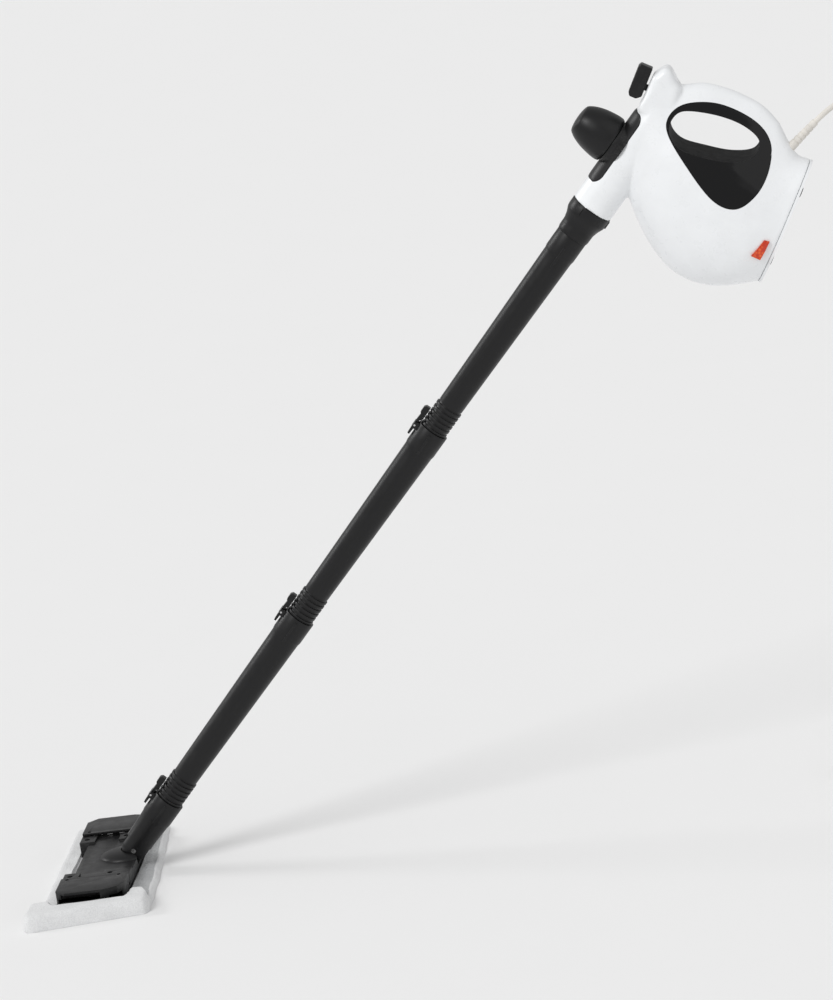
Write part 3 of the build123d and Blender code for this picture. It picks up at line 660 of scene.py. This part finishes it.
def unit_body():
    """The white housing as one soft form, and the glossy insert cut from it."""
    nose = lathe("nose", [(0, 0), (NOSE_R, 0), *smooth_profile(NOSE_SIDE), (0, 169)], NOZZLE)
    horn = rounded_bar("horn", through(HORN, 4), HORN_HALF, HORN_ROUND)
    body = join(body_surface(), nose, horn)
    modify(body, "REMESH", mode="VOXEL", voxel_size=VOXEL * MM)
    modify(body, "SMOOTH", factor=0.5, iterations=8)
    cut(body, lathe("mouth", [(0, -2), (MOUTH_R, -2), (MOUTH_R, 12), (0, 12)], NOZZLE))
    cut(body, lathe("filler", [(0, 16), (FILLER_R, 16), (FILLER_R, 40), (0, 40)], CAP))
    along, radius, depth = STEM_HOLE
    stem_hole = [(0, -depth), (radius, -depth), (radius, 0), (0, 0)]
    cut(body, lathe("stem_hole", stem_hole, UNIT @ Matrix.Translation((along, 0, 0))))
    cut(body, side_bar("tunnel", through(HAND_HOLE, 8), -BEYOND, BEYOND))
    insert = bpy.data.objects.new("insert", body.data.copy())
    bpy.context.scene.collection.objects.link(insert)
    seam = through(TEARDROP, 8)
    cut(insert, side_bar("inside", shifted(seam, -INSERT_GAP), -BEYOND, BEYOND), "INTERSECT")
    cut(body, side_bar("outside", shifted(seam, INSERT_GAP), -BEYOND, BEYOND))
    smooth(body, 40)
    smooth(insert, 40)
    body.name = "housing"
    dress(body, "unit", "white_plastic", "shell_left", "shell_right")
    dress(insert, "unit", "gloss_black", "insert_left", "insert_right")
    insert.data.materials.append(materials["grip_black"])
    for face in insert.data.polygons:
        face.material_index = 1 if abs(face.normal.y) < 0.4 else 0


def shifted(outline, away):
    """An outline with every point moved away from its middle."""
    offset = outline - outline.mean(0)
    return outline + away * offset / np.linalg.norm(offset, axis=1, keepdims=True)


def saddle():
    """The black band over the nose: round corners, edges that sink into the housing, a hole for the knob."""
    rows, columns = 60, 40
    middle, half = sum(SADDLE) / 2, (SADDLE[1] - SADDLE[0]) / 2
    reach = math.acos(SADDLE_LOW / SADDLE_R)
    verts, faces = [], []
    for i in range(rows + 1):
        along = -math.cos(math.pi * i / rows)
        s = middle + half * along
        into = max(0.0, (abs(s - middle) - (half - SADDLE_CORNER)) / SADDLE_CORNER)
        width = reach - SADDLE_CORNER / SADDLE_R * (1 - math.sqrt(max(0.0, 1 - into ** 2)))
        for j in range(columns + 1):
            across = -math.cos(math.pi * j / columns)
            rim = max(abs(along) ** 24, abs(across) ** 24)
            radius = SADDLE_R - RIM_DROP * rim
            turn = math.pi + width * across
            verts.append((radius * math.cos(turn), radius * math.sin(turn), s))
    for i in range(rows):
        for j in range(columns):
            a = i * (columns + 1) + j
            faces.append((a, a + 1, a + columns + 2, a + columns + 1))
    band = new_piece("saddle_band", verts, faces, NOZZLE)
    modify(band, "SOLIDIFY", thickness=SADDLE_THICK * MM, offset=-1)
    cut(band, lathe("knob_hole", [(0, 10), (BOSS_BORE, 10), (BOSS_BORE, 60), (0, 60)], CAP))
    join(band, lathe("boss", BOSS, CAP))
    smooth(band, 50)
    dress(band, "unit", "black_plastic", "saddle")


def knob():
    """The filler knob: a barrel that narrows upward, with a low domed top."""
    skin = [*smooth_profile(KNOB_SIDE), *smooth_profile(KNOB_TOP, 8)]
    bore = [(0, KNOB_ROOF), (PLUG_R, KNOB_ROOF), (PLUG_R, KNOB_FOOT)]
    turned = lathe("filler_knob", [(PLUG_R, KNOB_FOOT), *skin, *bore], CAP)
    smooth(turned, 40)
    dress(turned, "filler_cap", "black_plastic", "filler_cap")


def hard_parts():
    """Rounded copies of the moulded pieces."""
    for body, members in frame["record"]["behaviour"]["bodies"].items():
        for node in members:
            if node in EDGES:
                softened(node, body, EDGES[node])


# Cloth pad

def eased(value):
    """A smooth step from 0 to 1."""
    value = min(1.0, max(0.0, value))
    return value * value * (3 - 2 * value)


def pad_edges(y):
    """Front and rear edge of the cloth at one place across."""
    fold = eased((FOLD_FROM - y) / 14)
    front = PAD_FRONT + fold * (FOLD_FRONT - PAD_FRONT) + 1.8 * noise.noise((y / 26, 0, 7.7))
    rear = PAD_REAR - REAR_SLANT * y + 3 * (1 - (y / 170) ** 2) + 1.5 * noise.noise((y / 32, 3.1, 0))
    near = max(0.0, (PAD_NEAR + NEAR_CORNER[0] - y) / NEAR_CORNER[0])
    far = max(0.0, (y - PAD_FAR + FAR_CORNER[0]) / FAR_CORNER[0])
    pulled = NEAR_CORNER[1] * (1 - math.sqrt(max(0.0, 1 - near ** 2)))
    return front + pulled, rear - 0.6 * pulled - FAR_CORNER[1] * (1 - math.sqrt(max(0.0, 1 - far ** 2)))


def fold_share(x, y):
    """1 on the thick fold at the near end, 0 beyond it."""
    start = -PLATE_Y - 1.0
    if x < -PLATE_X:
        start = -PLATE_Y + 15 * eased((-PLATE_X - x) / 8)
    elif x > PLATE_X:
        start = -PLATE_Y + 30 * eased((x - PLATE_X) / 5) - 20 * eased((x - 60) / 12)
    return eased((start - y) / 5)


def pad_height(x, y, rear):
    """The cloth's upper surface at one place."""
    if abs(x) < PLATE_X and abs(y) < PLATE_Y:
        return PLATE_FLOOR
    puff = 1.5 * noise.noise((x / 22, y / 30, 0.3)) + 0.7 * noise.noise((x / 8, y / 11, 4.2))
    share = fold_share(x, y)
    height = THICKNESS + puff
    if x > PLATE_X:
        out = (x - PLATE_X) / (rear - PLATE_X)
        height = PANEL_THICK - PANEL_FALL * out + puff * (1.1 - out)
        height += HEM_HEIGHT * math.exp(-((rear - x - 4.5) / 1.5) ** 2)
        height -= CREASE_DEPTH * math.exp(-((y - CREASE_AT + 0.25 * x) / 2.6) ** 2)
    seam = math.exp(-((y - SEAM_AT - 0.1 * x) / 1.8) ** 2)
    height += share * (FOLD_TOP - seam - height + 0.6 * puff)
    return min(height, HIGHEST)


def spread(low, high, count):
    """Places between two ends, closer together near both."""
    return [low + (high - low) * (1 - math.cos(math.pi * i / count)) / 2 for i in range(count + 1)]


def cloth_pad():
    """The cloth under the plate: a puffed skin over a flat underside, thick and folded at the near end."""
    ys = spread(PAD_NEAR, -PLATE_Y - SEAM_GAP, 22) + spread(-PLATE_Y + SEAM_GAP, PLATE_Y - SEAM_GAP, 96)
    ys += spread(PLATE_Y + SEAM_GAP, PAD_FAR, 14)
    top, low = [], []
    for y in ys:
        front, rear = pad_edges(y)
        xs = spread(front, -PLATE_X - SEAM_GAP, 12) + spread(-PLATE_X + SEAM_GAP, PLATE_X - SEAM_GAP, 16)
        xs += spread(PLATE_X + SEAM_GAP, rear, 18)
        columns = len(xs)
        for x in xs:
            inside = min(x - front, rear - x, y - PAD_NEAR, PAD_FAR - y)
            rounding = math.sqrt(max(0.0, 1 - (1 - min(1.0, inside / ROUND_EDGE)) ** 2))
            height = EDGE_LOW + rounding * (pad_height(x, y, rear) - EDGE_LOW)
            across = y + 0.17 * x * eased((-y - 135) / 40)
            if x < 0:
                across += 0.16 * -x * eased((y - 140) / 24) * min(1.0, -x / 40)
            top.append((x, across, height))
            low.append((x, across, UNDERSIDE))
    count = len(top)
    faces = []
    for i in range(len(ys) - 1):
        for j in range(columns - 1):
            a = i * columns + j
            faces.append((a, a + 1, a + columns + 1, a + columns))
            faces.append((count + a, count + a + columns, count + a + columns + 1, count + a + 1))
    last = count - columns
    for j in range(columns - 1):
        faces.append((j, count + j, count + j + 1, j + 1))
        faces.append((last + j, last + j + 1, count + last + j + 1, count + last + j))
    for i in range(len(ys) - 1):
        a, b = i * columns, i * columns + columns - 1
        faces.append((a, a + columns, count + a + columns, count + a))
        faces.append((b, count + b, count + b + columns, b + columns))
    pad = new_piece("pad_cloth", top + low, faces, ROW)
    modify(pad, "SUBSURF", levels=1, render_levels=1)
    smooth(pad, 70)
    dress(pad, "head", "cloth", "cloth_pad")
    # The rear panel, short of its hem, gets the darker cloth as painted shade; the hem and the rest keep the
    # lighter cloth.
    pad.data.materials.append(materials["cloth_panel"])
    for face in pad.data.polygons:
        x, y, _ = (c / MM for c in face.center)
        rear = pad_edges(y)[1]
        on_panel = fold_share(x, y) < 0.4 and x < rear - HEM_WIDTH
        face.material_index = 1 if on_panel and x > 0 else 0


def stage():
    """A plain pale floor that runs out of view, and soft light from above and from both sides."""
    half = 12
    floor = new_piece("floor", [(-half, -half, 0), (half, -half, 0), (half, half, 0), (-half, half, 0)],
                      [(0, 1, 2, 3)])
    shader = Shader("floor", (0.86, 0.86, 0.86), 0.9)
    shader.link(shader.ramp(shader.noise(8, 2), 0.3, 0.7, 0.85, 0.95), "Roughness")
    floor.data.materials.append(shader.material)
    world = bpy.data.worlds.new("world")
    world.use_nodes = True
    world.node_tree.nodes["Background"].inputs["Color"].default_value = (1, 1, 1, 1)
    world.node_tree.nodes["Background"].inputs["Strength"].default_value = 0.56
    bpy.context.scene.world = world
    sun("key", (0.55, 0.75, -0.85), 24, 1.25)
    sun("fill", (-0.7, 0.5, -0.6), 50, 0.25)
    sun("rim", (0.8, -0.3, -0.5), 16, 0.6)


camera()
make_cord()
unit_body()
saddle()
knob()
hard_parts()
cloth_pad()
stage()
